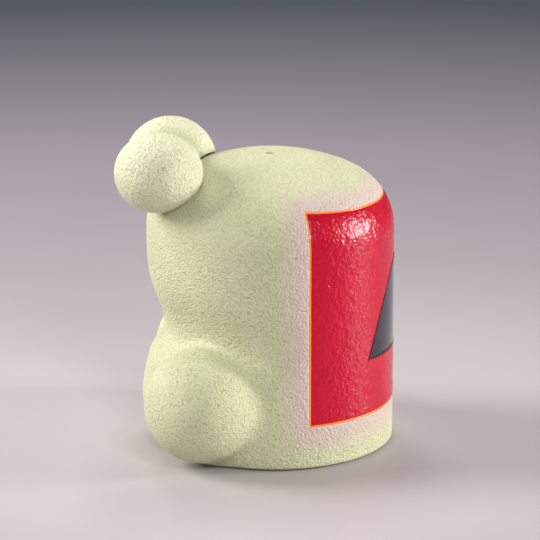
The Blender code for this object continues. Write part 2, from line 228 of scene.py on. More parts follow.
# Name, azimuth and elevation in degrees, distance, width, height, watts, colour
LIGHTS = [
    ("key_box", 5, 9, 0.9, 0.15, 0.15, 6.2, (1.0, 0.985, 0.97)),
    ("key_soft", -4, 13, 0.95, 0.36, 0.36, 3.2, (1.0, 0.985, 0.97)),
    ("front_box", -72, 34, 1.0, 0.25, 0.25, 4.4, (1.0, 0.985, 0.97)),
    ("top_box", 100, 60, 1.1, 0.4, 0.4, 5.8, (1.0, 0.985, 0.99)),
    ("rim_box", 174, 28, 0.9, 0.38, 0.5, 11.5, (1.0, 0.985, 0.985)),
    ("fill_box", -88, 12, 1.6, 0.9, 0.9, 5.2, (0.99, 1.0, 0.985)),
]

WALL_TOP = BODY_HEIGHT - CROWN_RADIUS + math.sqrt(
    (CROWN_RADIUS - SHOULDER_RADIUS) ** 2 - (BODY_RADIUS - SHOULDER_RADIUS) ** 2
)
SHOULDER_CENTRE = BODY_RADIUS - SHOULDER_RADIUS
SHOULDER_SWEEP = math.acos(SHOULDER_CENTRE / (CROWN_RADIUS - SHOULDER_RADIUS))
JOINT = frame["joints"][0]
SEAT_AXIS = Vector(JOINT["axis"]).normalized()
SEAT_POINT = Vector(JOINT["pos_m"])


# ---- shapes ----------------------------------------------------------------------------------


def smooth_step(value):
    value = np.clip(value, 0.0, 1.0)
    return value * value * (3 - 2 * value)


def smooth_max(first, second, blend):
    overlap = np.maximum(blend - np.abs(first - second), 0.0) / blend
    return np.maximum(first, second) + overlap * overlap * blend / 4


def push_lobes(points, inset):
    """Moves trunk points out onto the lobe of their side, along lines from the lobe's heart."""
    side = np.where(points[:, 0] < 0, -LOBE_ANGLE, LOBE_ANGLE)
    level = np.stack([np.sin(side), np.cos(side), np.zeros(len(side))], 1)
    heart = LOBE_HEART_DISTANCE * level
    heart[:, 2] = LOBE_HEIGHT
    spread = LOBE_DISTANCE - LOBE_HEART_DISTANCE
    away = points - heart
    distance = np.linalg.norm(away, axis=1)
    direction = away / distance[:, None]
    along = spread * (direction * level).sum(1)
    radius = LOBE_RADIUS - inset
    leaving = along + np.sqrt(radius * radius - spread * spread + along * along)
    push = smooth_max(leaving - distance, 0.0, LOBE_BLEND)
    moved = points + push[:, None] * direction
    moved[:, 2] = np.maximum(moved[:, 2], RIM_LIFT)
    return np.where(points[:, 2:3] >= WALL_TOP, points, moved)


def back_offset(angle, height):
    reach = np.where(height > WAIST_HEIGHT, WAIST_REACH_ABOVE, WAIST_REACH_BELOW)
    waist = WAIST_DEPTH * np.exp(-(((height - WAIST_HEIGHT) / reach) ** 2))
    belly = BELLY_DEPTH * np.exp(-(((height - BELLY_HEIGHT) / BELLY_REACH) ** 2))
    foot = FOOT_DRAW_IN * np.exp(-height / FOOT_DRAW_REACH)
    share = 1 - smooth_step((np.abs(angle) - BACK_FULL_ANGLE) / (BACK_END_ANGLE - BACK_FULL_ANGLE))
    return (belly - waist - foot) * share


def body_ring(angles, radius, height, inset):
    trunk = radius + back_offset(angles, np.full(len(angles), height))
    points = np.stack(
        [trunk * np.sin(angles), trunk * np.cos(angles), np.full(len(angles), height)], 1
    )
    return push_lobes(points, inset)


def plain_ring(angles, radius, height):
    return np.stack(
        [radius * np.sin(angles), radius * np.cos(angles), np.full(len(angles), height)], 1
    )


def shoulder_points(inset, turns):
    arc = SHOULDER_RADIUS - inset
    return [(SHOULDER_CENTRE + arc * math.cos(t), WALL_TOP + arc * math.sin(t)) for t in turns]


def crown_points(inset, radii):
    crown = CROWN_RADIUS - inset
    centre = BODY_HEIGHT - CROWN_RADIUS
    return [(radius, centre + math.sqrt(crown * crown - radius * radius)) for radius in radii]


def along_at(height):
    """Length along the turned profile from the underside up to this height."""
    if height <= WALL_TOP:
        return height
    return WALL_TOP + SHOULDER_RADIUS * math.asin((height - WALL_TOP) / SHOULDER_RADIUS)


def front_points(angles, along, depth):
    """Points on the front: angle off its middle, height along the profile, depth under it."""
    wall_part = np.minimum(along, WALL_TOP)
    turn = (along - wall_part) / SHOULDER_RADIUS
    arc = SHOULDER_RADIUS - depth
    radius = SHOULDER_CENTRE + arc * np.cos(turn)
    height = wall_part + arc * np.sin(turn)
    return np.stack([radius * np.sin(angles), -radius * np.cos(angles), height], -1)


def corner_lift(arc, along):
    """How much the panel's area is drawn up towards its top corners."""
    level = (along - PANEL_BOTTOM) / (along_at(PANEL_TOP) - PANEL_BOTTOM)
    return CORNER_RISE * level * (arc / (PANEL_HALF_ANGLE * BODY_RADIUS)) ** 2


def top_edge(arc):
    """Height along the profile of the panel area's top edge."""
    return along_at(PANEL_TOP) + corner_lift(arc, along_at(PANEL_TOP))


# ---- meshes ----------------------------------------------------------------------------------


def grid_faces(rows, columns, wrap, offset=0):
    """Quads of a grid of rows x columns points; wrap joins the last column to the first."""
    row = np.arange(rows - 1)[:, None]
    column = np.arange(columns if wrap else columns - 1)[None, :]
    after = (column + 1) % columns
    first = row * columns + column
    second = row * columns + after
    quads = np.stack([first, second, second + columns, first + columns], -1) + offset
    return quads.reshape(-1, 4)


def make_piece(name, points, faces, material, flat_under=None):
    mesh = bpy.data.meshes.new(name)
    mesh.from_pydata(np.asarray(points).tolist(), [], [list(map(int, face)) for face in faces])
    build = bmesh.new()
    build.from_mesh(mesh)
    bmesh.ops.recalc_face_normals(build, faces=build.faces)
    build.to_mesh(mesh)
    build.free()
    mesh.shade_smooth()
    if flat_under:
        mesh.set_sharp_from_angle(angle=flat_under)
    made = bpy.data.objects.new(name, mesh)
    bpy.context.scene.collection.objects.link(made)
    mesh.materials.append(material)
    return made


def coordinates(mesh):
    values = np.empty(len(mesh.vertices) * 3)
    mesh.vertices.foreach_get("co", values)
    return values.reshape(-1, 3)


def normals(mesh):
    values = np.empty(len(mesh.vertices) * 3)
    mesh.vertex_normals.foreach_get("vector", values)
    return values.reshape(-1, 3)


def grain(points, size, seed):
    """Smooth random value from -1 to 1 at each point, with lumps about this size."""
    shift = Vector((seed * 7.13, seed * 3.71, seed * 5.37))
    return np.array([noise.noise(Vector(point) / size + shift) for point in points])


def stipple(item, height, size, keep=None):
    """Raises sprayed lumps on a piece; keep holds 0 where the surface stays as it is."""
    mesh = item.data
    points = coordinates(mesh)
    lumps = 0.62 * grain(points, size, 1) + 0.38 * grain(points, size * 0.55, 2)
    rise = height * lumps
    if keep is not None:
        rise = rise * keep
    moved = points + rise[:, None] * normals(mesh)
    mesh.vertices.foreach_set("co", moved.ravel())
    mesh.update()


# ---- materials -------------------------------------------------------------------------------


def new_material(name):
    material = bpy.data.materials.new(name)
    material.use_nodes = True
    return material, material.node_tree.nodes, material.node_tree.links


def math_node(nodes, links, operation, first, second=None, third=None, clamp=False):
    node = nodes.new("ShaderNodeMath")
    node.operation = operation
    node.use_clamp = clamp
    for socket, value in zip(node.inputs, (first, second, third)):
        if value is None:
            continue
        if isinstance(value, (int, float)):
            socket.default_value = value
        else:
            links.new(value, socket)
    return node.outputs[0]


def noise_node(nodes, links, coordinates_out, size, detail=2.0, roughness=0.5):
    node = nodes.new("ShaderNodeTexNoise")
    node.inputs["Scale"].default_value = 1 / size
    node.inputs["Detail"].default_value = detail
    node.inputs["Roughness"].default_value = roughness
    links.new(coordinates_out, node.inputs["Vector"])
    return node.outputs["Fac"]


def lump_node(nodes, links, coordinates_out, size):
    """Rounded grains of about this size: 1 on top of each grain, lower in the valleys between."""
    node = nodes.new("ShaderNodeTexVoronoi")
    node.inputs["Scale"].default_value = 1 / size
    links.new(coordinates_out, node.inputs["Vector"])
    square = math_node(nodes, links, "MULTIPLY", node.outputs["Distance"], node.outputs["Distance"])
    return math_node(nodes, links, "SUBTRACT", 1.0, square, clamp=True)


def ramp_node(nodes, links, value, stops):
    node = nodes.new("ShaderNodeValToRGB")
    ramp = node.color_ramp
    while len(ramp.elements) < len(stops):
        ramp.elements.new(0.5)
    for element, (place, colour) in zip(ramp.elements, stops):
        element.position = place
        element.color = (*colour, 1)
    links.new(value, node.inputs["Fac"])
    return node.outputs["Color"]


def mix_node(nodes, links, share, first, second, blend="MIX"):
    node = nodes.new("ShaderNodeMix")
    node.data_type = "RGBA"
    node.blend_type = blend
    colours = [socket for socket in node.inputs if socket.type == "RGBA"]
    for socket, value in ((node.inputs[0], share), (colours[0], first), (colours[1], second)):
        if isinstance(value, tuple):
            socket.default_value = (*value, 1)
        elif isinstance(value, (int, float)):
            socket.default_value = value
        else:
            links.new(value, socket)
    return [socket for socket in node.outputs if socket.type == "RGBA"][0]


def bump_node(nodes, links, height, distance, strength, under=None):
    node = nodes.new("ShaderNodeBump")
    node.inputs["Distance"].default_value = distance
    node.inputs["Strength"].default_value = strength
    links.new(height, node.inputs["Height"])
    if under is not None:
        links.new(under, node.inputs["Normal"])
    return node.outputs["Normal"]


def object_place(nodes):
    return nodes.new("ShaderNodeTexCoord").outputs["Object"]


def halo_share(nodes, links, place):
    """1 beside the front panel, falling to 0 at the halo's reach."""
    split = nodes.new("ShaderNodeSeparateXYZ")
    links.new(place, split.inputs[0])
    x, y, z = split.outputs
    behind = math_node(nodes, links, "MULTIPLY", y, -1.0)
    angle = math_node(nodes, links, "ARCTAN2", x, behind)
    turned = math_node(nodes, links, "ABSOLUTE", angle)
    arc = math_node(nodes, links, "MULTIPLY", turned, BODY_RADIUS)
    beside = math_node(nodes, links, "SUBTRACT", arc, PANEL_HALF_ANGLE * BODY_RADIUS)
    beside = math_node(nodes, links, "MAXIMUM", beside, 0.0)
    rise = math_node(nodes, links, "SUBTRACT", z, WALL_TOP)
    rise = math_node(nodes, links, "DIVIDE", rise, SHOULDER_RADIUS)
    rise = math_node(nodes, links, "MINIMUM", rise, 0.999)
    rise = math_node(nodes, links, "MAXIMUM", rise, 0.0)
    arc_part = math_node(nodes, links, "ARCSINE", rise)
    arc_part = math_node(nodes, links, "MULTIPLY", arc_part, SHOULDER_RADIUS)
    wall_part = math_node(nodes, links, "MINIMUM", z, WALL_TOP)
    along = math_node(nodes, links, "ADD", wall_part, arc_part)
    within = math_node(nodes, links, "MINIMUM", turned, PANEL_HALF_ANGLE)
    bend = math_node(nodes, links, "MULTIPLY", within, within)
    raised = math_node(nodes, links, "MULTIPLY", bend, CORNER_RISE / PANEL_HALF_ANGLE**2)
    over = math_node(nodes, links, "SUBTRACT", along, along_at(PANEL_TOP))
    over = math_node(nodes, links, "SUBTRACT", over, raised)
    under = math_node(nodes, links, "SUBTRACT", PANEL_BOTTOM, along)
    outside = math_node(nodes, links, "MAXIMUM", over, under)
    outside = math_node(nodes, links, "MAXIMUM", outside, 0.0)
    squares = math_node(
        nodes,
        links,
        "ADD",
        math_node(nodes, links, "MULTIPLY", beside, beside),
        math_node(nodes, links, "MULTIPLY", outside, outside),
    )
    distance = math_node(nodes, links, "SQRT", squares)
    fade = nodes.new("ShaderNodeMapRange")
    fade.interpolation_type = "SMOOTHSTEP"
    fade.inputs["From Min"].default_value = HALO_REACH
    fade.inputs["From Max"].default_value = -1 * MM
    links.new(distance, fade.inputs["Value"])
    return fade.outputs["Result"]


def painted_shade_in_crease(nodes, links, place):
    """Painted shade: 1 in the dip between the two balls of the topknot, falling to 0 on the balls.
    """
    axis = (FAR_BALL - NEAR_BALL).normalized()
    along = nodes.new("ShaderNodeVectorMath")
    along.operation = "DOT_PRODUCT"
    along.inputs[1].default_value = axis
    links.new(place, along.inputs[0])
    middle = NEAR_BALL.lerp(FAR_BALL, CREASE_PLACE).dot(axis)
    offset = math_node(nodes, links, "SUBTRACT", along.outputs["Value"], middle)
    offset = math_node(nodes, links, "ABSOLUTE", offset)
    fade = nodes.new("ShaderNodeMapRange")
    fade.interpolation_type = "SMOOTHSTEP"
    fade.inputs["From Min"].default_value = CREASE_REACH
    fade.inputs["From Max"].default_value = 1 * MM
    links.new(offset, fade.inputs["Value"])
    return fade.outputs["Result"]


def stippled(name, base, light, dark, halo):
    """Matt sprayed stipple, paler on its grains and darker between them: painted light on the grain
    tops, painted shade in the hollows.

    With halo it turns pink beside the front panel; without, it paints shade into the dip between
    the topknot's balls.
    """
    material, nodes, links = new_material(name)
    shader = nodes["Principled BSDF"]
    place = object_place(nodes)
    lumps = lump_node(nodes, links, place, GRAIN_SIZE)
    fine = noise_node(nodes, links, place, 0.5 * MM, 2.0, 0.5)
    half_fine = math_node(nodes, links, "MULTIPLY", fine, 0.5)
    fine = math_node(nodes, links, "MULTIPLY_ADD", lumps, 0.5, half_fine)
    coarse = noise_node(nodes, links, place, 1.3 * MM, 2.0)
    cloud = noise_node(nodes, links, place, 16 * MM, 2.0)
    # Painted light and shade: the colour is paler on the grain tops and darker in the hollows
    # between them
    colour = ramp_node(nodes, links, fine, [(0.45, dark), (0.66, base), (0.8, light)])
    worn = ramp_node(nodes, links, cloud, [(0.3, (0.93, 0.94, 0.90)), (0.7, (1.0, 1.0, 1.0))])
    colour = mix_node(nodes, links, 1.0, colour, worn, "MULTIPLY")
    if halo:
        share = halo_share(nodes, links, place)
        speckle = math_node(nodes, links, "MULTIPLY_ADD", fine, 1.5, -0.75)
        share = math_node(nodes, links, "MULTIPLY_ADD", speckle, share, share, clamp=True)
        share = math_node(nodes, links, "MULTIPLY", share, 0.85)
        colour = mix_node(nodes, links, share, colour, PINK)
    else:
        # Painted shade: the colour is darkened in the dip between the topknot's balls
        dip = painted_shade_in_crease(nodes, links, place)
        shade = mix_node(nodes, links, dip, (1.0, 1.0, 1.0), PAINTED_CREASE_SHADE)
        colour = mix_node(nodes, links, 1.0, colour, shade, "MULTIPLY")
    links.new(colour, shader.inputs["Base Color"])
    roughness = math_node(nodes, links, "MULTIPLY_ADD", coarse, 0.2, 0.66)
    links.new(roughness, shader.inputs["Roughness"])
    shader.inputs["Specular IOR Level"].default_value = 0.35
    under = bump_node(nodes, links, coarse, 0.5 * MM, 0.6)
    depth = BODY_GRAIN_DEPTH if halo else KNOT_GRAIN_DEPTH
    links.new(bump_node(nodes, links, fine, depth, 1.0, under), shader.inputs["Normal"])
    return material


def pebbled_gloss(name, base, dark, bump, coat, specular):
    """Gloss lacquer over a pebbled ground."""
    material, nodes, links = new_material(name)
    shader = nodes["Principled BSDF"]
    place = object_place(nodes)
    pebbles = noise_node(nodes, links, place, 1.15 * MM, 2.0, 0.45)
    cloud = noise_node(nodes, links, place, 9 * MM, 2.0)
    colour = ramp_node(nodes, links, pebbles, [(0.1, dark), (0.45, base)])
    shade = ramp_node(nodes, links, cloud, [(0.3, (0.92, 0.88, 0.9)), (0.7, (1.0, 1.0, 1.0))])
    colour = mix_node(nodes, links, 1.0, colour, shade, "MULTIPLY")
    links.new(colour, shader.inputs["Base Color"])
    roughness = math_node(nodes, links, "MULTIPLY_ADD", pebbles, 0.12, 0.15)
    links.new(roughness, shader.inputs["Roughness"])
    shader.inputs["Specular IOR Level"].default_value = specular
    shader.inputs["Coat Weight"].default_value = coat
    shader.inputs["Coat Roughness"].default_value = 0.28
    links.new(bump_node(nodes, links, pebbles, bump, 1.0), shader.inputs["Normal"])
    return material


def smooth_gloss(name, base, light):
    """Poured gloss with a faint mottle in its depth and a very slight orange-peel skin."""
    material, nodes, links = new_material(name)
    shader = nodes["Principled BSDF"]
    place = object_place(nodes)
    cloud = noise_node(nodes, links, place, 3 * MM, 3.0)
    skin = noise_node(nodes, links, place, 2.2 * MM, 1.0)
    colour = ramp_node(nodes, links, cloud, [(0.35, base), (0.75, light)])
    links.new(colour, shader.inputs["Base Color"])
    roughness = math_node(nodes, links, "MULTIPLY_ADD", cloud, 0.05, 0.06)
    links.new(roughness, shader.inputs["Roughness"])
    shader.inputs["Coat Weight"].default_value = 0.25
    shader.inputs["Coat Roughness"].default_value = 0.04
    links.new(bump_node(nodes, links, skin, 0.02 * MM, 0.5), shader.inputs["Normal"])
    return material


def moulded(name, base, dark, roughness_low):
    """Moulded plastic with a fine matt texture."""
    material, nodes, links = new_material(name)
    shader = nodes["Principled BSDF"]
    place = object_place(nodes)
    texture = noise_node(nodes, links, place, 0.35 * MM, 2.0)
    cloud = noise_node(nodes, links, place, 7 * MM, 2.0)
    colour = ramp_node(nodes, links, cloud, [(0.3, dark), (0.7, base)])
    links.new(colour, shader.inputs["Base Color"])
    roughness = math_node(nodes, links, "MULTIPLY_ADD", texture, 0.2, roughness_low)
    links.new(roughness, shader.inputs["Roughness"])
    links.new(bump_node(nodes, links, texture, 0.06 * MM, 0.6), shader.inputs["Normal"])
    return material


# ---- body --------------------------------------------------------------------------------------


def body_columns():
    """Angles from the back, with columns lying exactly on the sides of the front panel's recess."""
    side = math.pi - PANEL_HALF_ANGLE
    front_count = int(BODY_COLUMNS * PANEL_HALF_ANGLE / math.pi) // 2 * 2
    back_count = BODY_COLUMNS - front_count
    step = EDGE / BODY_RADIUS
    back = np.linspace(-side, side, back_count)
    front = np.linspace(side + 2 * step, 2 * math.pi - side - 2 * step, front_count)
    return np.concatenate([back, front])


def body_rows():
    """(radius, height) of the outer rows; rows lie exactly on the bottom and top of the recess."""
    rows = []
    for turn in np.linspace(0, math.pi / 2, FOOT_ROWS)[:-1]:
        rows.append(
            (
                BODY_RADIUS - FOOT_EDGE * (1 - math.sin(turn)),
                RIM_LIFT + FOOT_EDGE * (1 - math.cos(turn)),
            )
        )
    heights = list(np.linspace(RIM_LIFT + FOOT_EDGE, PANEL_BOTTOM, LOWER_WALL_ROWS))
    heights += list(np.linspace(PANEL_BOTTOM + 2 * EDGE, WALL_TOP, WALL_ROWS))[:-1]
    rows += [(BODY_RADIUS, height) for height in heights]
    panel_turn = (along_at(PANEL_TOP) - WALL_TOP) / SHOULDER_RADIUS
    gap = 2 * EDGE / SHOULDER_RADIUS
    turns = list(np.linspace(0, panel_turn - gap, SHOULDER_ROWS))
    turns += list(np.linspace(panel_turn, SHOULDER_SWEEP, UPPER_SHOULDER_ROWS))
    rows += shoulder_points(0, turns)
    rows += crown_points(0, np.linspace(rows[-1][0], VENT_RADIUS + VENT_EDGE, CROWN_ROWS)[1:])
    centre = rows[-1]
    for turn in VENT_TURNS:
        rows.append(
            (
                centre[0] - VENT_EDGE * math.sin(turn),
                centre[1] - VENT_EDGE * (1 - math.cos(turn)),
            )
        )
    return rows


def make_body(material):
    angles = body_columns()
    outer = body_rows()
    heights = np.linspace(LEDGE_TOP + WALL / 2, WALL_TOP, INNER_WALL_ROWS)[:-1]
    inner = [(BODY_RADIUS - WALL, height) for height in heights]
    inner += shoulder_points(WALL, np.linspace(0, SHOULDER_SWEEP, INNER_SHOULDER_ROWS))
    inner += crown_points(WALL, np.linspace(inner[-1][0], VENT_RADIUS, INNER_CROWN_ROWS)[1:])
    rings = [body_ring(angles, radius, height, 0) for radius, height in outer]
    rings += [body_ring(angles, radius, height, WALL) for radius, height in inner[::-1]]
    rings += [
        plain_ring(angles, LEDGE_RADIUS, LEDGE_TOP),
        plain_ring(angles, LEDGE_RADIUS, LEDGE_BOTTOM),
        plain_ring(angles, OPENING_RADIUS, LEDGE_BOTTOM),
        plain_ring(angles, OPENING_RADIUS, RIM_LIFT),
    ]
    points = np.concatenate(rings + rings[:1])
    count = len(angles)
    faces = grid_faces(len(rings) + 1, count, True)
    total = len(rings) * count
    points = points[:total]
    faces = faces % total
    # The recess for the inlays: points strictly inside the panel's outline drop under the surface
    row_of = np.repeat(np.arange(len(rings)), count)
    around = np.tile(angles, len(rings))
    from_front = np.abs(np.abs((around + math.pi) % (2 * math.pi) - math.pi) - math.pi)
    along = np.array([along_at(min(h, WALL_TOP + SHOULDER_RADIUS)) for _, h in outer])
    along = np.concatenate([along, np.full(len(rings) - len(outer), -1.0)])[row_of]
    top = top_edge(np.minimum(from_front, PANEL_HALF_ANGLE) * BODY_RADIUS)
    margin = BORDER_WIDTH / 2
    inside = (from_front < PANEL_HALF_ANGLE - EDGE / BODY_RADIUS) & (row_of < len(outer))
    inside &= (along > PANEL_BOTTOM + EDGE) & (along < top - margin)
    sunk = front_points(
        np.arctan2(points[:, 0], -points[:, 1]), np.maximum(along, 0), RECESS_DEPTH
    )
    points = np.where(inside[:, None], sunk, points)
    # The swivel hole through the wall at the seat
    offset = points - np.array(SEAT_POINT)
    axis = np.array(SEAT_AXIS)
    depth = offset @ axis
    radial = offset - depth[:, None] * axis
    reach = np.linalg.norm(radial, axis=1)
    near_seat = np.abs(depth) < SEAT_ZONE
    open_point = near_seat & (reach < HOLE_RADIUS - HOLE_SNAP)
    keep_face = ~open_point[faces].any(1)
    edge_point = np.zeros(len(points), bool)
    edge_point[faces[~keep_face].ravel()] = True
    edge_point &= ~open_point
    stretch = (HOLE_RADIUS / np.maximum(reach, 1e-9))[:, None]
    snapped = np.array(SEAT_POINT) + depth[:, None] * axis + radial * stretch
    points = np.where(edge_point[:, None], snapped, points)
    faces = faces[keep_face]
    outer_edge = edge_point & (row_of < len(outer))
    body = make_piece("body_skin", points, faces, material)
    # Stipple on the outside only, fading to nothing at the inlays, the rim and the holes
    keep = ((row_of < len(outer)) & ~inside).astype(float)
    beside = np.maximum(from_front - PANEL_HALF_ANGLE, 0) * BODY_RADIUS
    over = np.maximum(np.maximum(along - top, PANEL_BOTTOM - along), 0)
    keep *= smooth_step(np.hypot(beside, over) / PANEL_FADE)
    radius_now = np.hypot(points[:, 0], points[:, 1])
    keep *= smooth_step((radius_now - VENT_RADIUS - VENT_CLEAR) / VENT_FADE)
    keep *= smooth_step((points[:, 2] - RIM_LIFT) / RIM_FADE)
    keep *= np.where(near_seat, smooth_step((reach - HOLE_RADIUS) / HOLE_FADE), 1.0)
    stipple(body, STIPPLE_HEIGHT, STIPPLE_SIZE, keep)
    add_hole_wall(body, outer_edge)
    drop_loose(body)
    return body


def add_hole_wall(body, outer_edge):
    """Walls the swivel hole: its upper edge is drawn down through the wall."""
    build = bmesh.new()
    build.from_mesh(body.data)
    build.verts.ensure_lookup_table()
    marked = {build.verts[int(index)] for index in np.nonzero(outer_edge)[0]}
    rim = [edge for edge in build.edges if edge.is_boundary and set(edge.verts) <= marked]
    made = bmesh.ops.extrude_edge_only(build, edges=rim)
    fresh = [item for item in made["geom"] if isinstance(item, bmesh.types.BMVert)]
    for vert in fresh:
        offset = vert.co - SEAT_POINT
        depth = offset.dot(SEAT_AXIS)
        vert.co += (-HOLE_DEPTH - depth) * SEAT_AXIS
    build.to_mesh(body.data)
    build.free()


def drop_loose(item):
    build = bmesh.new()
    build.from_mesh(item.data)
    loose = [vert for vert in build.verts if not vert.link_faces]
    bmesh.ops.delete(build, geom=loose, context="VERTS")
    build.to_mesh(item.data)
    build.free()


# ---- topknot -------------------------------------------------------------------------------------


def knot_radius(along, length):
    near_part = np.sqrt(np.maximum(NEAR_BALL_RADIUS**2 - along**2, 0))
    far_part = np.sqrt(np.maximum(FAR_BALL_RADIUS**2 - (along - length) ** 2, 0))
    waist = smooth_max(near_part, KNOT_WAIST_RADIUS, KNOT_BLEND)
    waist_far = smooth_max(far_part, KNOT_WAIST_RADIUS, KNOT_BLEND)
    waist = waist + (near_part - waist) * (1 - smooth_step(along / NEAR_BALL_RADIUS))
    share_far = 1 - smooth_step((length - along) / FAR_BALL_RADIUS)
    waist_far = waist_far + (far_part - waist_far) * share_far
    middle = np.maximum(waist, waist_far)
    return np.where(along <= 0, near_part, np.where(along >= length, far_part, middle))


def body_gap(radius, height):
    """How far points lie outside the body's plain turned shape; negative inside."""
    on_wall = radius - BODY_RADIUS
    on_shoulder = np.hypot(radius - SHOULDER_CENTRE, height - WALL_TOP) - SHOULDER_RADIUS
    on_crown = np.hypot(radius, height - BODY_HEIGHT + CROWN_RADIUS) - CROWN_RADIUS
    turn = np.arctan2(height - WALL_TOP, radius - SHOULDER_CENTRE)
    upper = np.where(turn < SHOULDER_SWEEP, on_shoulder, on_crown)
    return np.where(height < WALL_TOP, on_wall, upper)


def seat_rise(reaches):
    """Highest place of the body, grown by the seat's gap, on circles round the swivel axis."""
    axis = np.array(SEAT_AXIS)
    across = np.array([1.0, 0.0, 0.0])
    downward = np.cross(axis, across)
    turns = np.linspace(0, math.pi, SEAT_TURNS)
    spokes = np.cos(turns)[:, None] * downward + np.sin(turns)[:, None] * across
    feet = np.array(SEAT_POINT) + reaches[:, None, None] * spokes[None]
    low = np.full(feet.shape[:2], -SEAT_DEPTH)
    high = np.full(feet.shape[:2], SEAT_TOP)
    for _ in range(SEAT_HALVINGS):
        middle = (low + high) / 2
        spots = feet + middle[..., None] * axis
        outside = body_gap(np.hypot(spots[..., 0], spots[..., 1]), spots[..., 2]) > SEAT_GAP
        high = np.where(outside, middle, high)
        low = np.where(outside, low, middle)
    return high.max(1)


def lift_to_seat(points):
    """Moves points that lie under the topknot's hollowed seat up onto it, along the swivel axis."""
    axis = np.array(SEAT_AXIS)
    offset = points - np.array(SEAT_POINT)
    height = offset @ axis
    reach = np.linalg.norm(offset - height[:, None] * axis, axis=1)
    samples = np.linspace(0, SEAT_REACH, SEAT_SAMPLES)
    floor = np.interp(reach, samples, seat_rise(samples))
    lift = smooth_max(floor - height, 0.0, SEAT_LIP)
    return points + lift[:, None] * axis


def make_topknot(material):
    line = FAR_BALL - NEAR_BALL
    length = line.length
    axis = line.normalized()
    level = axis.cross(Vector((0, 0, 1))).normalized()
    upward = axis.cross(level)
    caps = np.linspace(0, math.pi / 2, KNOT_CAP_ROWS)
    along = np.concatenate(
        [
            -NEAR_BALL_RADIUS * np.cos(caps[1:]),
            np.linspace(0, length, KNOT_MIDDLE_ROWS)[1:-1],
            length + FAR_BALL_RADIUS * np.sin(caps[:-1]),
        ]
    )
    radius = knot_radius(along, length)
    angles = np.linspace(0, 2 * math.pi, KNOT_COLUMNS, endpoint=False)
    share = 1 - smooth_step(along / length)
    wide = 1 + (NEAR_BALL_WIDEN - 1) * share
    tall = 1 + (NEAR_BALL_FLATTEN - 1) * share
    across = (wide * radius)[:, None] * np.cos(angles)[None, :]
    up = (tall * radius)[:, None] * np.sin(angles)[None, :]
    points = (
        np.array(NEAR_BALL)
        + along[:, None, None] * np.array(axis)
        + across[..., None] * np.array(level)
        + up[..., None] * np.array(upward)
    ).reshape(-1, 3)
    ends = [
        np.array(NEAR_BALL - NEAR_BALL_RADIUS * axis),
        np.array(FAR_BALL + FAR_BALL_RADIUS * axis),
    ]
    rows = len(along)
    faces = grid_faces(rows, KNOT_COLUMNS, True).tolist()
    last = rows * KNOT_COLUMNS
    top = (rows - 1) * KNOT_COLUMNS
    for step in range(KNOT_COLUMNS):
        after = (step + 1) % KNOT_COLUMNS
        faces.append((last, after, step))
        faces.append((last + 1, top + step, top + after))
    points = np.concatenate([points, np.array(ends)])
    knot = make_piece("topknot_skin", points, faces, material)
    stipple(knot, STIPPLE_HEIGHT, STIPPLE_SIZE)
    seated = lift_to_seat(coordinates(knot.data))
    knot.data.vertices.foreach_set("co", seated.ravel())
    knot.data.update()
    knot.data.set_sharp_from_angle(angle=math.radians(50))
    return knot


# ---- front inlays --------------------------------------------------------------------------------


def make_panel(material):
    """The gloss panel: pebbled, rounded over at its edges, and sunk under the dark arch."""
    margin = BORDER_WIDTH - PANEL_UNDERLAP
    half = PANEL_HALF_ANGLE * BODY_RADIUS - margin
    low = PANEL_BOTTOM + margin
    high = along_at(PANEL_TOP) - margin
    columns = int(2 * half / PANEL_PITCH)
    rows = int((high - low) / PANEL_PITCH)
    across = np.linspace(-half, half, columns)
    up = np.linspace(low, high, rows)
    arc, along = np.meshgrid(across, up)
    arc = arc.ravel()
    along = along.ravel()
    edge = np.minimum(np.minimum(half - np.abs(arc), along - low), high - along)
    along = along + corner_lift(arc, along)
    depth = -PANEL_PROUD * smooth_step(edge / (0.9 * MM))
    depth = depth + 0.12 * MM * (1 - smooth_step(edge / (0.5 * MM)))
    inside = arch_inset(arc, along)
    sink = smooth_step((inside - 0.15 * MM) / (0.5 * MM))
    depth = depth + ARCH_SINK * sink
    top = front_points(arc / BODY_RADIUS, along, depth)
    under = front_points(arc / BODY_RADIUS, along, SLAB_DEPTH)
    # One layer of grid on top, with a skirt down to the back of the slab
    rim = np.concatenate(
        [
            np.arange(columns),
            np.arange(1, rows) * columns + columns - 1,
            (rows - 1) * columns + np.arange(columns - 2, -1, -1),
            np.arange(rows - 2, 0, -1) * columns,
        ]
    )
    points = np.concatenate([top, under[rim]])
    faces = grid_faces(rows, columns, False).tolist()
    start = len(top)
    count = len(rim)
    for step in range(count):
        after = (step + 1) % count
        faces.append((int(rim[step]), int(rim[after]), start + after, start + step))
    panel = make_piece("panel_skin", points, faces, material)
    keep = np.concatenate([(1 - sink) * smooth_step(edge / PEBBLE_FADE), np.zeros(count)])
    stipple(panel, PEBBLE_HEIGHT, PEBBLE_SIZE, keep)
    return panel


def arch_inset(arc, along):
    """Rough distance inside the dark arch's outline; negative outside."""
    foot = along - ARCH_BOTTOM
    rise = ARCH_RISE * (1 - (arc / ARCH_HALF_WIDTH) ** 2)
    slope = 2 * ARCH_RISE * np.abs(arc) / ARCH_HALF_WIDTH**2
    side = (rise - foot) / np.sqrt(1 + slope * slope)
    return np.minimum(foot, side)


def outline_path(half, low, high, pitch):
    """Closed outline of the panel area as (arc, along) points, every pitch or so."""
    corners = [(-half, low), (half, low), (half, high), (-half, high)]
    path = []
    for (ax, ay), (bx, by) in zip(corners, corners[1:] + corners[:1]):
        count = max(int(math.hypot(bx - ax, by - ay) / pitch), 2)
        for step in range(count):
            share = step / count
            path.append((ax + (bx - ax) * share, ay + (by - ay) * share))
    return np.array(path)


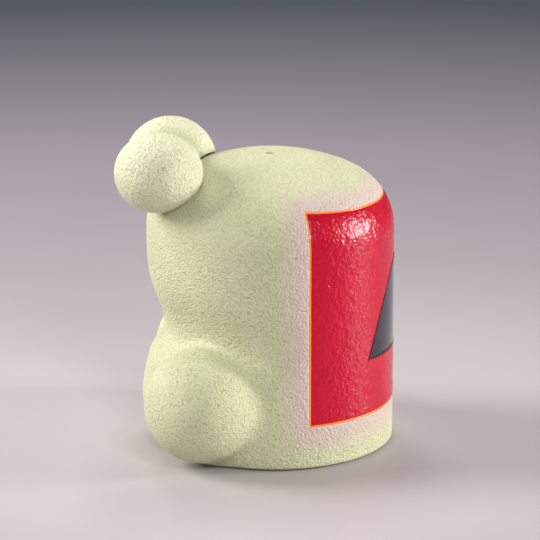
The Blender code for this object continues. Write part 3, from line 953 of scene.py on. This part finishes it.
def make_border(material):
    """The thin border: a ribbon around the panel, softly rounded across its width."""
    half = PANEL_HALF_ANGLE * BODY_RADIUS
    low = PANEL_BOTTOM
    high = along_at(PANEL_TOP)
    rings = []
    sections = [
        (-EDGE, SLAB_DEPTH),
        (-EDGE, 0.10 * MM),
        (0.0, 0.0),
        (0.15 * MM, -0.7 * BORDER_PROUD),
        (0.3 * MM, -BORDER_PROUD),
        (BORDER_WIDTH - 0.3 * MM, -BORDER_PROUD),
        (BORDER_WIDTH - 0.1 * MM, -0.5 * BORDER_PROUD),
        (BORDER_WIDTH, 0.1 * MM),
        (BORDER_WIDTH, SLAB_DEPTH),
    ]
    base = outline_path(half, low, high, BORDER_PITCH)
    centre = np.array([0.0, (low + high) / 2])
    reach = np.array([half, (high - low) / 2])
    for inset, depth in sections:
        scaled = centre + (base - centre) * (reach - inset) / reach
        waver = 0.0
        if 0.1 * MM < inset < BORDER_WIDTH:
            steps = np.arange(len(base))
            waver = BORDER_WAVER * np.sin(steps * 0.83) * np.sin(steps * 0.31)
        raised = scaled[:, 1] + corner_lift(scaled[:, 0], scaled[:, 1])
        rings.append(front_points(scaled[:, 0] / BODY_RADIUS, raised, depth + waver))
    count = len(base)
    total = len(rings) * count
    points = np.concatenate(rings)
    faces = grid_faces(len(rings) + 1, count, True) % total
    return make_piece("border_skin", points, faces, material, math.radians(60))


def make_arch(material, rim_material):
    """The dark arch: a poured gloss inlay with a rounded, slightly raised bead along its edge."""
    shares = np.linspace(-1, 1, ARCH_CURVE_POINTS)[1:-1]
    curve = np.stack(
        [-ARCH_HALF_WIDTH * shares, ARCH_BOTTOM + ARCH_RISE * (1 - shares**2)], 1
    )
    foot_arc = np.linspace(-ARCH_HALF_WIDTH, ARCH_HALF_WIDTH, ARCH_FOOT_POINTS)
    foot = np.stack([foot_arc, np.full(ARCH_FOOT_POINTS, ARCH_BOTTOM)], 1)
    outline = np.concatenate([foot, curve])
    before = np.roll(outline, 1, 0)
    after = np.roll(outline, -1, 0)
    first = outline - before
    second = after - outline
    first /= np.linalg.norm(first, axis=1)[:, None]
    second /= np.linalg.norm(second, axis=1)[:, None]
    inward = np.stack([-(first + second)[:, 1], (first + second)[:, 0]], 1)
    inward /= np.linalg.norm(inward, axis=1)[:, None]
    corner = np.stack([-first[:, 1], first[:, 0]], 1)
    inward /= (inward * corner).sum(1)[:, None]
    sections = [(0.0, 1.3 * MM), (0.0, ARCH_FOOT_DEPTH)]
    for turn in np.linspace(0, math.pi / 2, ARCH_BEAD_TURNS)[1:]:
        sections.append(
            (
                0.45 * ARCH_BEAD * (1 - math.cos(turn)),
                -(ARCH_PROUD + ARCH_FOOT_DEPTH) * math.sin(turn) + ARCH_FOOT_DEPTH,
            )
        )
    for share in (0.25, 0.5, 0.75, 1.0):
        inset = ARCH_BEAD * (0.45 + 0.55 * share)
        fall = (ARCH_PROUD - ARCH_FLAT) * float(smooth_step(share))
        sections.append((inset, -ARCH_PROUD + fall))
    rings = []
    for inset, depth in sections:
        placed = outline + inset * inward
        rings.append(front_points(placed[:, 0] / BODY_RADIUS, placed[:, 1], depth))
    last = outline + sections[-1][0] * inward
    centre = np.array([0.0, ARCH_BOTTOM + 0.36 * ARCH_RISE])
    for share in np.linspace(0.98, 0.04, ARCH_INNER_ROWS):
        placed = centre + (last - centre) * share
        rings.append(front_points(placed[:, 0] / BODY_RADIUS, placed[:, 1], -ARCH_FLAT))
    count = len(outline)
    points = np.concatenate(rings)
    middle = front_points(np.array([0.0]), np.array([centre[1]]), -ARCH_FLAT)
    faces = grid_faces(len(rings), count, True).tolist()
    top = (len(rings) - 1) * count
    for step in range(count):
        faces.append((top + step, top + (step + 1) % count, len(points)))
    points = np.concatenate([points, middle])
    arch = make_piece("arch_skin", points, faces, material)
    # The poured face is shaded by the true surface, so its rings leave no creases
    shading = normals(arch.data)
    poured = (len(sections) - 1) * count
    flat = points[poured:]
    away = np.stack([flat[:, 0], flat[:, 1], np.zeros(len(flat))], 1)
    away /= np.linalg.norm(away, axis=1)[:, None]
    turn = np.maximum((flat[:, 2] - WALL_TOP) / (SHOULDER_RADIUS + ARCH_FLAT), 0)[:, None]
    shading[poured:] = away * np.sqrt(1 - turn * turn) + turn * np.array([[0, 0, 1.0]])
    arch.data.normals_split_custom_set_from_vertices(shading.tolist())
    arch.data.materials.append(rim_material)
    bead_faces = ARCH_BEAD_ROWS * count
    for polygon in arch.data.polygons:
        polygon.material_index = 1 if polygon.index < bead_faces else 0
    return arch


# ---- stage ---------------------------------------------------------------------------------------


def towards(azimuth, elevation):
    return Vector(
        (
            math.sin(azimuth) * math.cos(elevation),
            -math.cos(azimuth) * math.cos(elevation),
            math.sin(elevation),
        )
    )


def add_camera():
    direction = towards(VIEW_AZIMUTH, VIEW_ELEVATION)
    data = bpy.data.cameras.new("photo_camera")
    camera = bpy.data.objects.new("photo_camera", data)
    bpy.context.scene.collection.objects.link(camera)
    camera.location = TARGET + VIEW_DISTANCE * direction
    camera.rotation_euler = (-direction).to_track_quat("-Z", "Y").to_euler()
    data.sensor_width = SENSOR
    data.lens = SENSOR * VIEW_DISTANCE / VIEW_SPAN
    data.clip_start = 0.05
    data.clip_end = 30
    bpy.context.scene.camera = camera


def add_light(name, azimuth, elevation, distance, width, height, watts, colour):
    """A soft box aimed at the object; azimuth 0 is straight in front of the panel."""
    direction = towards(math.radians(azimuth), math.radians(elevation))
    data = bpy.data.lights.new(name, "AREA")
    data.shape = "RECTANGLE"
    data.size = width
    data.size_y = height
    data.energy = watts
    data.color = colour
    lamp = bpy.data.objects.new(name, data)
    bpy.context.scene.collection.objects.link(lamp)
    lamp.location = TARGET + distance * direction
    lamp.rotation_euler = (-direction).to_track_quat("-Z", "Y").to_euler()


def add_stage():
    """A flat paper floor, pale round the object and darker further out: a painted pool of light and
    its painted falloff.
    """
    material, nodes, links = new_material("sweep_paper")
    shader = nodes["Principled BSDF"]
    place = object_place(nodes)
    fibre = noise_node(nodes, links, place, 2 * MM, 3.0)
    cloud = noise_node(nodes, links, place, 0.4, 2.0)
    tint = ramp_node(nodes, links, cloud, [(0.3, (0.96, 0.955, 0.96)), (0.7, (1.0, 1.0, 1.0))])
    length = nodes.new("ShaderNodeVectorMath")
    length.operation = "LENGTH"
    links.new(place, length.inputs[0])
    # Painted light: the floor's colour is a pale pool round the object, darkening further out
    paper = ramp_node(nodes, links, length.outputs["Value"], PAINTED_FLOOR_LIGHT_STOPS)
    colour = mix_node(nodes, links, 1.0, paper, tint, "MULTIPLY")
    links.new(colour, shader.inputs["Base Color"])
    shader.inputs["Roughness"].default_value = 0.42
    shader.inputs["Specular IOR Level"].default_value = 0.4
    links.new(bump_node(nodes, links, fibre, 0.02 * MM, 0.1), shader.inputs["Normal"])
    points = [
        (-FLOOR_HALF, -FLOOR_HALF, 0),
        (FLOOR_HALF, -FLOOR_HALF, 0),
        (FLOOR_HALF, FLOOR_HALF, 0),
        (-FLOOR_HALF, FLOOR_HALF, 0),
    ]
    mesh = bpy.data.meshes.new("floor")
    mesh.from_pydata(points, [], [(0, 1, 2, 3)])
    mesh.materials.append(material)
    floor = bpy.data.objects.new("floor", mesh)
    bpy.context.scene.collection.objects.link(floor)


def add_world():
    world = bpy.data.worlds.new("studio")
    world.use_nodes = True
    nodes = world.node_tree.nodes
    links = world.node_tree.links
    background = nodes["Background"]
    place = nodes.new("ShaderNodeTexCoord")
    split = nodes.new("ShaderNodeSeparateXYZ")
    links.new(place.outputs["Generated"], split.inputs[0])
    colour = ramp_node(nodes, links, split.outputs["Z"], WORLD_STOPS)
    links.new(colour, background.inputs["Color"])
    background.inputs["Strength"].default_value = WORLD_STRENGTH
    bpy.context.scene.world = world


def main():
    body_look = stippled("body_stipple", CELADON, CELADON_LIGHT, CELADON_DARK, True)
    knot_look = stippled("topknot_stipple", KNOT_TINT, CELADON_LIGHT, CELADON_DARK, False)
    red = pebbled_gloss("red_gloss", RED, RED_DARK, 0.34 * MM, 0.12, 0.25)
    orange = pebbled_gloss("orange_gloss", ORANGE, ORANGE_DARK, 0.08 * MM, 0.0, 0.3)
    black = smooth_gloss("black_gloss", BLACK, BLACK_LIGHT)
    black_rim = moulded("black_rim", RIM_BLACK, RIM_BLACK_DARK, 0.4)
    black_rim.node_tree.nodes["Principled BSDF"].inputs["Specular IOR Level"].default_value = 0.15

    body = make_body(body_look)
    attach(body, "body")
    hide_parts("body_shell")
    knot = make_topknot(knot_look)
    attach(knot, "topknot")
    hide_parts("topknot_shell")
    for made, node, slot in (
        (make_panel(red), "front_panel", "red_gloss"),
        (make_border(orange), "panel_border", "orange_gloss"),
        (make_arch(black, black_rim), "arch_inlay", "black_gloss"),
    ):
        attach(made, "body")
        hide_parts(node)

    kept = {
        "base_plate": moulded("base_plastic", PLATE_GREEN, PLATE_GREEN_DARK, 0.55),
        "swivel_bush": moulded("bush_plastic", BUSH_GREY, BUSH_GREY_DARK, 0.35),
        "swivel_peg": moulded("peg_plastic", PEG_IVORY, PEG_IVORY_DARK, 0.35),
    }
    for node, material in kept.items():
        item = frame["nodes"][node]
        for slot_index in range(len(item.material_slots)):
            item.material_slots[slot_index].material = material

    bpy.context.scene.view_settings.view_transform = "Standard"
    add_camera()
    add_stage()
    add_world()
    for light in LIGHTS:
        add_light(*light)


main()
bpy.context.view_layer.update()
